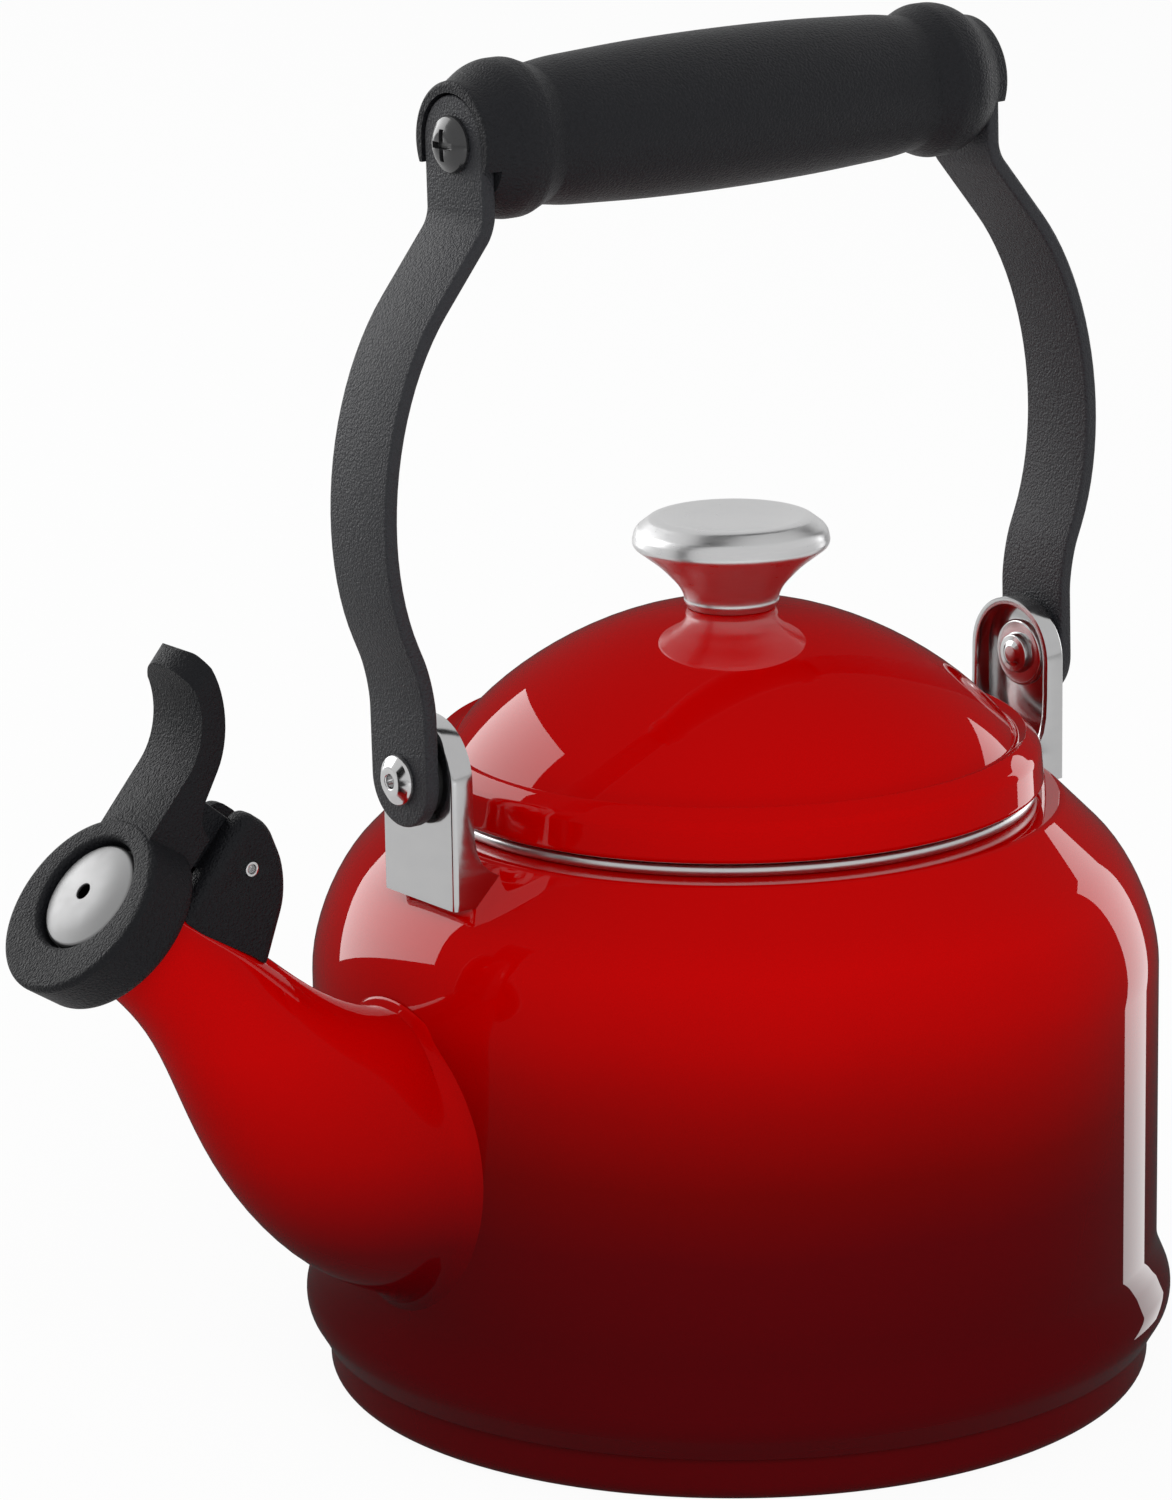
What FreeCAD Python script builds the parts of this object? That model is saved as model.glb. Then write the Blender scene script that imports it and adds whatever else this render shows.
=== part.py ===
"""Stovetop whistling kettle: enamelled body, spout with hinged whistle, folding bail and lift-off lid.

Millimetres.  +Z up, origin on the body axis at the base plane.  The spout points along -X,
the bail swings about the X axis line at pivot height and rests a little out of upright, as
friction holds it.  Everything else is symmetric about y = 0.
"""
import FreeCAD, Part
import math
import os

V = FreeCAD.Vector
UP = V(0, 0, 1)

# ---- body and base
wall_radius = 72.55        # outside radius of the straight wall
body_height = 101.0        # base plane to the flat seat round the opening
sheet = 1.0                # enamelled steel sheet
shoulder_radius = 30.0     # arc from the wall to the 45 degree shoulder
shoulder_drop = 28.8       # seat height down to the start of that arc
seat_width = 6.85          # flat ring round the opening
bead_height = 14.0         # centre height of the bead above the base
bead_swell = 2.45          # how far the bead stands out of the wall
base_inset = 1.55          # base pan wall inside the body wall
base_corner = 3.0          # rounded lower edge of the base pan
lip_height = 8.0           # lower edge of the body shell
# ---- stainless opening rim
rim_overhang = 2.3         # rim bead beyond the opening
rim_thick = 1.1            # rim inside the opening
rim_height = 2.2           # rim bead above the seat
rim_depth = 4.0            # rim skirt below the seat
# ---- lid
lid_gap = 0.3              # lid edge above the rim
lid_overhang = 3.6         # lid edge beyond the opening
lid_bead_height = 8.6      # lid edge up to the top of its bead
lid_groove = 3.15          # groove radius inside the opening radius
dome_rise = 20.4           # dome foot to the knob flat
dome_side = 3.55           # centre of that arc beyond the axis, so the dome is full at its edge
knob_pad_radius = 7.0      # flat on top of the dome
skirt_gap = 1.3            # locating skirt inside the rim
skirt_depth = 9.0          # locating skirt below the seat
skirt_thick = 0.8
weld_gap = 0.12            # skirt edge under the curved lid
# ---- knob
knob_height = 15.8
knob_radius = 16.9
knob_neck = 8.0
knob_thread = 2.0          # thread radius of the knob screw
knob_screw_length = 7.0    # thread above the pad
# ---- brackets
bracket_inset = 6.65       # plate outer face inside the wall radius
bracket_width = 20.2
bracket_sheet = 1.2
bracket_lip = 4.0          # depth of the rolled flange
pivot_rise = 14.8          # pivot line above the seat
bracket_foot = 6.3         # lower edge of the plate below the seat
bracket_tip = 1.6          # top of the welded toe below the seat
# ---- pivot rivets and washers
rivet_radius = 3.0
rivet_head_radius = 4.3
rivet_head_height = 2.0
rivet_dimple = 1.1         # radius of the hole in the rivet head
washer_radius = 5.9
washer_thick = 1.0
friction_radius = 6.5
friction_thick = 0.9
pivot_fit = 0.05           # running fit of the strap on the rivet
slide_gap = 0.05           # side play each side of the strap
# ---- straps
strap_width = 16.0
strap_thick = 2.5
strap_out_bend = 24.0      # radius of the outward bend
strap_lean = 22.9          # degrees
strap_bow = 54.6           # radius of the long bow
strap_bulge = 7.1          # bow beyond the lower straight
strap_low = 11.2           # pivot to the start of the outward bend
strap_close = 39.4         # degrees at the top of the bow
strap_in_bend = 5.0
strap_inset = 15.0         # top straight inside the lower straight
strap_top = 10.85          # end of the last bend to the grip axis
bail_lean = 1.3            # degrees out of upright, towards +Y
# ---- grip
grip_radius = 13.6
grip_neck = 11.6
grip_bead = 13.1
bead_back = 6.7            # middle of the bead to the seat of the strap
grip_hood = 10.3
hood_clear = 0.35          # hood round the strap end
hood_skirt = 3.7           # hood sides reach this far below the grip axis
hood_reach = 0.0           # hood rim beyond the strap face
insert_radius = 4.0
insert_length = 14.0
screw_radius = 2.2
screw_head_radius = 4.8
screw_head_height = 2.3
# ---- spout: reach from the wall, height, tilt, half height, half width
spout_sheet = 1.1
spout_height = 50.5        # centre of the spout root above the base
spout_stations = [
    (-9.0, 0.0, 0.0, 25.5, 20.6),
    (3.5, 2.0, 15.0, 23.2, 18.4),
    (7.0, 5.6, 26.0, 22.2, 17.6),
    (12.0, 10.4, 38.0, 20.3, 16.6),
    (21.2, 17.4, 47.0, 16.4, 14.4),
    (28.8, 26.6, 47.0, 13.1, 12.3),
    (36.6, 37.0, 43.0, 10.5, 10.4),
]
mouth_radius = 8.9         # outside of the round mouth tube
mouth_tilt = 41.0          # degrees above horizontal
mouth_bead = 0.8           # rolled lip
mouth_reach = 53.0         # mouth centre beyond the wall
mouth_rise = 51.0          # mouth centre above the spout root
# ---- whistle: s runs back from the front face, l is height over the mouth axis
cap_radius = 15.9
cap_drop = 0.6             # middle of the ring's face below the mouth axis
cap_skew = 1.5             # middle of the ring's back above that of its face
cap_depth = 9.8
mouth_depth = 8.2          # front face to the mouth edge
seal_gap = 0.3             # seal in front of the mouth edge
seal_thick = 1.5
disc_radius = 9.9          # flange snapped into the ring
disc_lift = 1.6            # middle of the discs above the mouth axis
disc_seat = 4.6            # front face of the ring to the web behind the discs
disc_wall = 9.3            # outside of the raised middle of the front disc
disc_edge = 1.2            # front face of the ring to the edge of the raised middle
disc_sheet = 0.5
disc_dome = 1.5
disc_hole = 1.4
web_hole = 5.7             # steam hole in the web
recess_clear = 1.9         # cap recess round the mouth lip
pin_back = 20.4
pin_high = 19.7
pin_radius = 1.25
pin_fit = 0.05
knuckle_half = 2.7
knuckle_radius = 5.0
knuckle_gap = 0.3
cheek_front = 13.8
cheek_half = 6.8           # outside of the cheeks
cheek_size = 16.6          # height of the quarter-round cheek
cheek_long = 19.6
saddle_gap = 0.1           # bracket and stud over the enamel of the spout
saddle_low = 10.7          # underside of the cheeks over the mouth axis
lever_half = 7.0
lever_height = 26.2        # top of the lever over the cap
lever_reach = 11.0         # tip of the lever in front of the ring
lever_tongue = 4.0         # the rounded tip beyond its corners
spring_wire = 0.25
spring_turns = 5

# ---- derived
seat_z = body_height
arc_z = seat_z - shoulder_drop
arc_cr = wall_radius - shoulder_radius
K = math.sqrt(0.5)
cone_r = arc_cr + shoulder_radius * K
cone_z = arc_z + shoulder_radius * K
flat_r = cone_r - (seat_z - cone_z)
opening_radius = flat_r - seat_width
base_radius = wall_radius - base_inset
rim_top = seat_z + rim_height
rim_inner = opening_radius - rim_thick
lid_edge_z = rim_top + lid_gap
lid_radius = opening_radius + lid_overhang
groove_r = opening_radius - lid_groove
groove_z = lid_edge_z + lid_bead_height + 1.7
dome_out = (groove_r - dome_side) ** 2 - (knob_pad_radius - dome_side) ** 2
dome_cz = groove_z - (dome_out - dome_rise ** 2) / (2 * dome_rise)
dome_radius = math.hypot(groove_r - dome_side, groove_z - dome_cz)
pad_z = groove_z + dome_rise
plate_x = wall_radius - bracket_inset
pivot_z = seat_z + pivot_rise
strap_in_x = plate_x + friction_thick + 2 * slide_gap
strap_out_x = strap_in_x + strap_thick
web_high = pin_high - knuckle_radius - 0.8
mouth = V(-(wall_radius + mouth_reach), 0, spout_height + mouth_rise)
tilt = math.radians(mouth_tilt)
front = V(-math.cos(tilt), 0, math.sin(tilt))
side = V(math.sin(tilt), 0, math.cos(tilt))


# ---- helpers
def P(r, z):
    return V(r, 0, z)


def line(a, b):
    return Part.LineSegment(a, b).toShape()


def arc(a, m, b):
    return Part.Arc(a, m, b).toShape()


def arc_at(cx, cz, r, a0, a1):
    """Arc in the XZ plane about (cx, cz) from angle a0 to a1, degrees."""
    pts = []
    for a in (a0, (a0 + a1) / 2.0, a1):
        t = math.radians(a)
        pts.append(P(cx + r * math.cos(t), cz + r * math.sin(t)))
    return Part.Arc(pts[0], pts[1], pts[2]).toShape()


def curve(points):
    c = Part.BSplineCurve()
    c.interpolate(points)
    return c.toShape()


def face(edges):
    return Part.Face(Part.Wire(edges))


def poly(points):
    return Part.Face(Part.makePolygon(points + [points[0]]))


def lathe(edges, base=V(0, 0, 0), axis=UP):
    return face(edges).revolve(base, axis, 360)


def turned(points, base=V(0, 0, 0), axis=UP):
    return poly(points).revolve(base, axis, 360)


def slab(shape, half):
    """Extrude a face lying in y = 0 to both sides."""
    moved = shape.copy()
    moved.translate(V(0, -half, 0))
    return moved.extrude(V(0, 2 * half, 0))


def rod(r, a, b):
    d = b - a
    return Part.makeCylinder(r, d.Length, a, d)


def mirror_x(shape):
    return shape.mirror(V(0, 0, 0), V(1, 0, 0))


def both_ends(shape):
    return Part.makeCompound([mirror_x(shape), shape])


def W(s, l):
    """Point on the whistle plane: s back from the front face, l over the mouth axis."""
    return mouth + front * (mouth_depth - s) + side * l


# ---- body
def bead_line(inset):
    steps = [(-6, -0.14), (-4, 0.47), (-2, 0.88), (0, 1.0), (2, 0.78), (4, 0.33), (6, 0.06), (9, 0.0)]
    out = []
    for dz, k in steps:
        out.append(P(wall_radius - inset + bead_swell * k, bead_height + dz))
    return out


def body_outer():
    bead = bead_line(0)
    return [
        curve(bead),
        line(bead[-1], P(wall_radius, arc_z)),
        arc_at(arc_cr, arc_z, shoulder_radius, 0, 45),
        line(P(cone_r, cone_z), P(flat_r, seat_z)),
    ]


def body_envelope():
    """Everything inside the outer skin of the body."""
    e = body_outer()
    e.append(line(P(flat_r, seat_z), P(0, seat_z)))
    e.append(line(P(0, seat_z), P(0, lip_height)))
    e.append(line(P(0, lip_height), bead_line(0)[0]))
    return lathe(e)


def body_shell():
    r_in = shoulder_radius - sheet
    inner = bead_line(sheet)
    inner[0] = P(base_radius, lip_height)
    inner[1] = P(base_radius + 0.9, lip_height + 2.2)
    cr = arc_cr + r_in * K
    cz = arc_z + r_in * K
    top = seat_z - sheet
    e = body_outer()
    e.append(line(P(flat_r, seat_z), P(opening_radius, seat_z)))
    e.append(line(P(opening_radius, seat_z), P(opening_radius, top)))
    e.append(line(P(opening_radius, top), P(cr - (top - cz), top)))
    e.append(line(P(cr - (top - cz), top), P(cr, cz)))
    e.append(arc_at(arc_cr, arc_z, r_in, 45, 0))
    e.append(line(P(wall_radius - sheet, arc_z), inner[-1]))
    inner.reverse()
    e.append(curve(inner))
    e.append(line(P(base_radius, lip_height), bead_line(0)[0]))
    shell = lathe(e)
    return shell.cut(spout_solid(spout_sheet))


def base_pan():
    r = base_radius
    c = base_corner
    top = bead_height - 1.5
    t = sheet
    e = [
        line(P(0, 0), P(r - c, 0)),
        arc_at(r - c, c, c, -90, 0),
        line(P(r, c), P(r, top)),
        line(P(r, top), P(r - t, top)),
        line(P(r - t, top), P(r - t, c)),
        arc_at(r - c, c, c - t, 0, -90),
        line(P(r - c, t), P(0, t)),
        line(P(0, t), P(0, 0)),
    ]
    return lathe(e)


def opening_rim():
    ro = opening_radius + rim_overhang
    ri = rim_inner
    h = rim_height
    z = seat_z
    e = [
        line(P(ri, z - rim_depth), P(opening_radius, z - rim_depth)),
        line(P(opening_radius, z - rim_depth), P(opening_radius, z)),
        line(P(opening_radius, z), P(ro - 0.7, z)),
        arc(P(ro - 0.7, z), P(ro, z + h / 2.0), P(ro - 0.7, z + h)),
        line(P(ro - 0.7, z + h), P(ri + 1.0, z + h)),
        arc(P(ri + 1.0, z + h), P(ri + 0.3, z + h - 0.3), P(ri, z + h - 1.0)),
        line(P(ri, z + h - 1.0), P(ri, z - rim_depth)),
    ]
    return lathe(e)


# ---- spout
def ring_wire(centre, deg, hh, hw):
    a = math.radians(deg)
    up = V(math.sin(a), 0, math.cos(a))
    pts = []
    for k in range(16):
        t = 2 * math.pi * k / 16
        pts.append(centre + up * (hh * math.cos(t)) + V(0, hw * math.sin(t), 0))
    c = Part.BSplineCurve()
    c.interpolate(pts, True)
    return Part.Wire(c.toShape())


def spout_solid(inset):
    """Loft from inside the body to the back of the rolled lip."""
    wires = []
    for reach, rise, deg, hh, hw in spout_stations:
        centre = V(-(wall_radius + reach), 0, spout_height + rise)
        wires.append(ring_wire(centre, deg, hh - inset, hw - inset))
    r = mouth_radius - inset
    wires.append(ring_wire(mouth - front * 11.0, mouth_tilt, r + 0.15, r + 0.15))
    wires.append(ring_wire(mouth - front * 2 * mouth_bead, mouth_tilt, r, r))
    return Part.makeLoft(wires, True, False)


def mouth_lip():
    ri = mouth_radius - spout_sheet - 0.1
    ro = mouth_radius + mouth_bead - 0.2
    s0 = mouth_depth
    s1 = mouth_depth + 2 * mouth_bead
    mid = (ri + ro) / 2.0
    e = [
        line(W(s1, ri), W(s1, mid)),
        arc(W(s1, mid), W((s0 + s1) / 2.0, ro), W(s0, mid)),
        line(W(s0, mid), W(s0, ri)),
        line(W(s0, ri), W(s1, ri)),
    ]
    return face(e).revolve(mouth, front, 360)


def spout():
    tube = spout_solid(0).cut(body_envelope()).cut(spout_solid(spout_sheet))
    tube = sorted(tube.Solids, key=lambda q: -q.Volume)[0]
    return tube.fuse(mouth_lip())


# ---- brackets and pivots (drawn on +X, mirrored for the spout end)
def arch_face(r, low):
    z = pivot_z
    x = plate_x
    edges = [
        line(V(x, -r, low), V(x, r, low)),
        line(V(x, r, low), V(x, r, z)),
        arc(V(x, r, z), V(x, 0, z + r), V(x, -r, z)),
        line(V(x, -r, z), V(x, -r, low)),
    ]
    return face(edges)


def bracket():
    r = bracket_width / 2.0
    low = seat_z - bracket_foot
    toe_z = seat_z - bracket_tip
    toe_x = flat_r + bracket_tip - 1.0
    depth = plate_x - toe_x + 3.0
    outer = arch_face(r, low).extrude(V(-depth, 0, 0))
    inner = arch_face(r - bracket_sheet, low - 1).extrude(V(-depth, 0, 0))
    inner.translate(V(-bracket_sheet, 0, 0))
    shell = outer.cut(inner)
    back = plate_x - bracket_lip
    knee_z = toe_z + 8.0
    top = pivot_z + r + 5
    far = toe_x - 8
    e = [
        line(P(far, toe_z), P(toe_x, toe_z)),
        arc(P(toe_x, toe_z), P(back - 0.9, toe_z + 2.6), P(back, knee_z)),
        line(P(back, knee_z), P(back, top)),
        line(P(back, top), P(far, top)),
        line(P(far, top), P(far, toe_z)),
    ]
    shell = shell.cut(slab(face(e), r + 2))
    shell = shell.cut(body_envelope())
    hole = rod(rivet_radius, V(plate_x - 5, 0, pivot_z), V(plate_x + 5, 0, pivot_z))
    return shell.cut(hole)


def pivot_rivet():
    """Shank through washer, plate, friction washer and strap; domed head outside, peened tip inside."""
    x0 = plate_x - bracket_sheet - washer_thick
    x1 = strap_out_x + slide_gap
    tip = 1.8
    r = rivet_radius
    hr = rivet_head_radius
    hh = rivet_head_height
    z = pivot_z
    e = [
        line(P(x0 - tip, z), P(x0 - tip, z + r * 0.7)),
        arc(P(x0 - tip, z + r * 0.7), P(x0 - tip * 0.6, z + r * 1.12), P(x0, z + r * 1.2)),
        line(P(x0, z + r * 1.2), P(x0, z + r)),
        line(P(x0, z + r), P(x1, z + r)),
        line(P(x1, z + r), P(x1, z + hr)),
        arc(P(x1, z + hr), P(x1 + hh * 0.72, z + hr * 0.7), P(x1 + hh, z + rivet_dimple)),
        line(P(x1 + hh, z + rivet_dimple), P(x1 + hh * 0.3, z + rivet_dimple)),
        line(P(x1 + hh * 0.3, z + rivet_dimple), P(x1 + hh * 0.3, z)),
        line(P(x1 + hh * 0.3, z), P(x0 - tip, z)),
    ]
    return lathe(e, P(0, z), V(1, 0, 0))


def rivet_washer():
    x1 = plate_x - bracket_sheet
    a = V(x1 - washer_thick, 0, pivot_z)
    b = V(x1, 0, pivot_z)
    return rod(washer_radius, a, b).cut(rod(rivet_radius, a, b))


def friction_washer():
    a = V(plate_x + slide_gap, 0, pivot_z)
    b = V(plate_x + slide_gap + friction_thick, 0, pivot_z)
    return rod(friction_radius, a, b).cut(rod(rivet_radius + pivot_fit, a, b))


# ---- bail
def strap_lines():
    """Corner values of the strap path on its outer face, going up."""
    x0 = strap_out_x
    z0 = pivot_z + strap_low
    lean = math.radians(strap_lean)
    close = math.radians(strap_close)
    bx = x0 + strap_bulge - strap_bow
    x1 = x0 + strap_out_bend * (1 - math.cos(lean))
    z1 = z0 + strap_out_bend * math.sin(lean)
    x2 = bx + strap_bow * math.cos(lean)
    z2 = z1 + (x2 - x1) / math.tan(lean)
    bz = z2 + strap_bow * math.sin(lean)
    x3 = bx + strap_bow * math.cos(close)
    z3 = bz + strap_bow * math.sin(close)
    x5 = x0 - strap_inset
    x4 = x5 + strap_in_bend * (1 - math.cos(close))
    z4 = z3 + (x3 - x4) / math.tan(close)
    z5 = z4 + strap_in_bend * math.sin(close)
    return x0, z0, bx, bz, x5, z5


def grip_z():
    return strap_lines()[5] + strap_top


def strap_side(inset):
    """Outer face of the strap in XZ, or its inner face when inset is the thickness."""
    x0, z0, bx, bz, x5, z5 = strap_lines()
    low = pivot_z - strap_width / 2.0 - 1
    high = grip_z() + strap_width / 2.0 + 1
    t = inset
    a = arc_at(x0 + strap_out_bend, z0, strap_out_bend + t, 180, 180 - strap_lean)
    b = arc_at(bx, bz, strap_bow - t, -strap_lean, strap_close)
    c = arc_at(x5 + strap_in_bend, z5, strap_in_bend + t, 180 + strap_close, 180)
    return [
        line(P(x0 - t, low), a.Vertexes[0].Point),
        a,
        line(a.Vertexes[-1].Point, b.Vertexes[0].Point),
        b,
        line(b.Vertexes[-1].Point, c.Vertexes[0].Point),
        c,
        line(c.Vertexes[-1].Point, P(x5 - t, high)),
    ]


def end_outline():
    r = strap_width / 2.0
    a = pivot_z
    b = grip_z()
    edges = [
        line(V(0, r, a), V(0, r, b)),
        arc(V(0, r, b), V(0, 0, b + r), V(0, -r, b)),
        line(V(0, -r, b), V(0, -r, a)),
        arc(V(0, -r, a), V(0, 0, a - r), V(0, r, a)),
    ]
    return face(edges).extrude(V(strap_out_x + strap_bulge + 5, 0, 0))


def strap():
    outer = strap_side(0)
    inner = strap_side(strap_thick)
    low = line(inner[0].Vertexes[0].Point, outer[0].Vertexes[0].Point)
    high = line(outer[-1].Vertexes[-1].Point, inner[-1].Vertexes[-1].Point)
    side_face = face(Part.__sortEdges__(outer + inner + [low, high]))
    body = slab(side_face, strap_width / 2.0).common(end_outline())
    z = pivot_z
    body = body.cut(rod(rivet_radius + pivot_fit, V(strap_in_x - 2, 0, z), V(strap_out_x + 2, 0, z)))
    x = strap_out_x - strap_inset
    z = grip_z()
    return body.cut(rod(screw_radius + 0.2, V(x - 6, 0, z), V(x + 3, 0, z)))


def grip():
    x_face = strap_out_x - strap_inset
    x_seat = x_face - strap_thick
    rim = x_face + hood_reach
    bead = x_seat - bead_back
    z = grip_z()
    half = [
        P(0, z + grip_radius), P(bead * 0.44, z + grip_radius - 0.35), P(bead - 12, z + grip_neck + 0.5),
        P(bead - 6.2, z + grip_neck), P(bead - 3.2, z + grip_bead - 0.7), P(bead, z + grip_bead),
        P(bead + 3.3, z + grip_bead - 0.6), P(x_seat - 0.6, z + grip_hood + 0.9), P(rim - 0.8, z + grip_hood),
    ]
    left = []
    for p in half[1:]:
        left.insert(0, V(-p.x, 0, p.z))
    top = curve(left + half)
    a = P(rim, z + grip_hood - 0.7)
    e = [top, line(half[-1], a), line(a, P(rim, z)), line(P(rim, z), P(-rim, z))]
    e.append(line(P(-rim, z), V(-a.x, 0, a.z)))
    e.append(line(V(-a.x, 0, a.z), left[0]))
    body = lathe(e, P(0, z), V(1, 0, 0))
    r = strap_width / 2.0 + hood_clear
    cup = rod(r, V(x_seat, 0, z), V(rim + 2, 0, z))
    cup = cup.fuse(Part.makeBox(20, 2 * r, 2 * r, V(x_seat, -r, z - 2 * r)))
    wide = 2 * grip_bead + 10
    slot = Part.makeBox(20, wide, 30, V(x_seat, -wide / 2.0, z - 30 - hood_skirt))
    bore = rod(insert_radius, V(x_seat - insert_length, 0, z), V(x_seat + 1, 0, z))
    cut = cup.fuse(slot).fuse(bore)
    return body.cut(cut).cut(mirror_x(cut))


def grip_insert():
    x = strap_out_x - strap_inset - strap_thick
    a = V(x - insert_length, 0, grip_z())
    b = V(x, 0, grip_z())
    return rod(insert_radius, a, b).cut(rod(screw_radius, a, b))


def grip_screw():
    x = strap_out_x - strap_inset
    z = grip_z()
    r = screw_head_radius
    h = screw_head_height
    length = strap_thick + insert_length * 0.75
    e = [
        line(P(x - length, z), P(x - length, z + screw_radius)),
        line(P(x - length, z + screw_radius), P(x, z + screw_radius)),
        line(P(x, z + screw_radius), P(x, z + r)),
        arc(P(x, z + r), P(x + h * 0.72, z + r * 0.8), P(x + h, z + r * 0.3)),
        line(P(x + h, z + r * 0.3), P(x + h, z)),
        line(P(x + h, z), P(x - length, z)),
    ]
    body = lathe(e, P(0, z), V(1, 0, 0))
    w = 0.55
    a = Part.makeBox(3, 2 * w, r * 1.1, V(x + h - 1.3, -w, z - r * 0.55))
    b = Part.makeBox(3, r * 1.1, 2 * w, V(x + h - 1.3, -r * 0.55, z - w))
    return body.cut(a).cut(b)


# ---- lid
def lid_shell():
    t = sheet
    z0 = lid_edge_z
    r0 = lid_radius
    zt = z0 + lid_bead_height
    rt = groove_r + 4.0
    z1 = groove_z
    pad = knob_pad_radius
    inner_pad = pad_z - t
    in_r = dome_radius - t
    cx = dome_side
    pad_in = cx + math.sqrt(in_r ** 2 - (inner_pad - dome_cz) ** 2)
    g0 = P(groove_r + 1.0, z1 - 1.5)
    foot_a = math.degrees(math.atan2(z1 - dome_cz, groove_r - cx))
    pad_a = math.degrees(math.atan2(pad_z - dome_cz, pad - cx))
    in_foot = P(cx + in_r * math.cos(math.radians(foot_a)), dome_cz + in_r * math.sin(math.radians(foot_a)))
    in_pad_a = math.degrees(math.atan2(inner_pad - dome_cz, pad_in - cx))
    e = [
        line(P(knob_thread, pad_z), P(pad, pad_z)),
        arc_at(cx, dome_cz, dome_radius, pad_a, foot_a),
        curve([P(groove_r, z1), g0, P(groove_r + 2.2, z1 - 2.1), P(rt, zt - 0.05), P(r0 - 2.2, zt - 1.5),
               P(r0 - 0.3, zt - 4.6), P(r0, z0 + 1.6), P(r0 - 0.5, z0 + 0.2), P(r0 - 1.3, z0)]),
        line(P(r0 - 1.3, z0), P(r0 - 2.4, z0)),
        line(P(r0 - 2.4, z0), P(r0 - 2.4, z0 + t)),
        curve([P(r0 - 2.4, z0 + t), P(r0 - 1.2, z0 + t + 0.4), P(r0 - t, z0 + 2.4), P(r0 - t - 0.4, zt - 4.9),
               P(r0 - 2.9, zt - 2.4), P(rt + 0.2, zt - 1.1), P(groove_r + 2.1, z1 - 3.2),
               P(groove_r + 0.3, z1 - 2.3), in_foot]),
        arc_at(cx, dome_cz, in_r, foot_a, in_pad_a),
        line(P(pad_in, inner_pad), P(knob_thread, inner_pad)),
        line(P(knob_thread, inner_pad), P(knob_thread, pad_z)),
    ]
    return lathe(e)


def lid_skirt():
    """Stainless locating ring spot-welded under the groove of the lid."""
    ro = rim_inner - skirt_gap
    ri = ro - skirt_thick
    low = seat_z - skirt_depth
    raw = turned([P(ri, low), P(ro, low), P(ro, groove_z + 2), P(ri, groove_z + 2)])
    shell = lid_shell()
    lowered = shell.copy()
    lowered.translate(V(0, 0, -weld_gap))
    trimmed = raw.cut(lowered).cut(shell)
    return sorted(trimmed.Solids, key=lambda s: s.BoundBox.ZMin)[0]


def lid_knob():
    z = pad_z
    h = knob_height
    n = knob_neck
    r = knob_radius
    e = [
        line(P(knob_thread, z), P(n - 1.2, z)),
        curve([P(n - 1.2, z), P(n - 0.1, z + 0.7), P(n + 0.1, z + 1.9), P(n + 1.2, z + 3.9),
               P(n + 3.0, z + 6.0), P(n + 6.1, z + 8.8), P(r - 0.4, z + h - 4.9)]),
        arc(P(r - 0.4, z + h - 4.9), P(r, z + h - 4.2), P(r - 0.3, z + h - 3.4)),
        curve([P(r - 0.3, z + h - 3.4), P(r - 1.4, z + h - 1.9), P(r - 2.9, z + h - 0.6), P(r - 4.2, z + h)]),
        arc(P(r - 4.2, z + h), P((r - 4.2) * 0.6, z + h - 1.0), P(2.0, z + h - 1.45)),
        line(P(2.0, z + h - 1.45), P(0, z + h - 1.45)),
        line(P(0, z + h - 1.45), P(0, z + knob_screw_length + 0.5)),
        line(P(0, z + knob_screw_length + 0.5), P(knob_thread, z + knob_screw_length + 0.5)),
        line(P(knob_thread, z + knob_screw_length + 0.5), P(knob_thread, z)),
    ]
    return lathe(e)


def knob_washer():
    z = pad_z - sheet
    return turned([P(knob_thread, z - 1.0), P(6.0, z - 1.0), P(6.0, z), P(knob_thread, z)])


def knob_screw():
    z = pad_z - sheet - 1.0
    t = knob_thread
    top = pad_z + knob_screw_length
    body = turned([P(0, z - 2.0), P(3.6, z - 2.0), P(4.2, z - 1.2), P(4.2, z), P(t, z), P(t, top), P(0, top)])
    w = 0.5
    a = Part.makeBox(2 * w, 4.4, 1.2, V(-w, -2.2, z - 2.0))
    b = Part.makeBox(4.4, 2 * w, 1.2, V(-2.2, -w, z - 2.0))
    return body.cut(a).cut(b)


# ---- whistle
def whistle_turned(points, lift=0.0):
    """Lathe shape from points (s, radius) about the mouth axis, or an axis lifted from it."""
    return poly([W(s, l + lift) for s, l in points]).revolve(mouth + side * lift, front, 360)


def lever_face():
    """Side view of the thumb lever: upright behind the ring's face, then curled forward over it."""
    top = cap_radius + lever_height
    r = -lever_reach
    root = cap_radius - 4.6
    front_line = [(0.3, root), (0.3, top - 22), (0.2, top - 17), (-0.5, top - 13.1), (-1.6, top - 11.1),
                  (-3.0, top - 9.0), (-4.9, top - 7.1), (-7.0, top - 5.4), (r + 0.9, top - 4.5)]
    back_line = [(r + 0.2, top - 0.7), (r + 1.4, top), (r + 3.4, top - 0.3), (r + 6.5, top - 2.0),
                 (-0.3, top - 4.7), (2.3, top - 7.8), (4.5, top - 13.1), (5.7, top - 18.4), (7.2, top - 21.4)]
    rear = W(cap_depth, top - 22.6)
    foot = W(cap_depth, root)
    return face([
        curve([W(s, l) for s, l in front_line]),
        line(W(*front_line[-1]), W(*back_line[0])),
        curve([W(s, l) for s, l in back_line]),
        line(W(*back_line[-1]), rear),
        line(rear, foot),
        line(foot, W(*front_line[0])),
    ])


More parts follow.
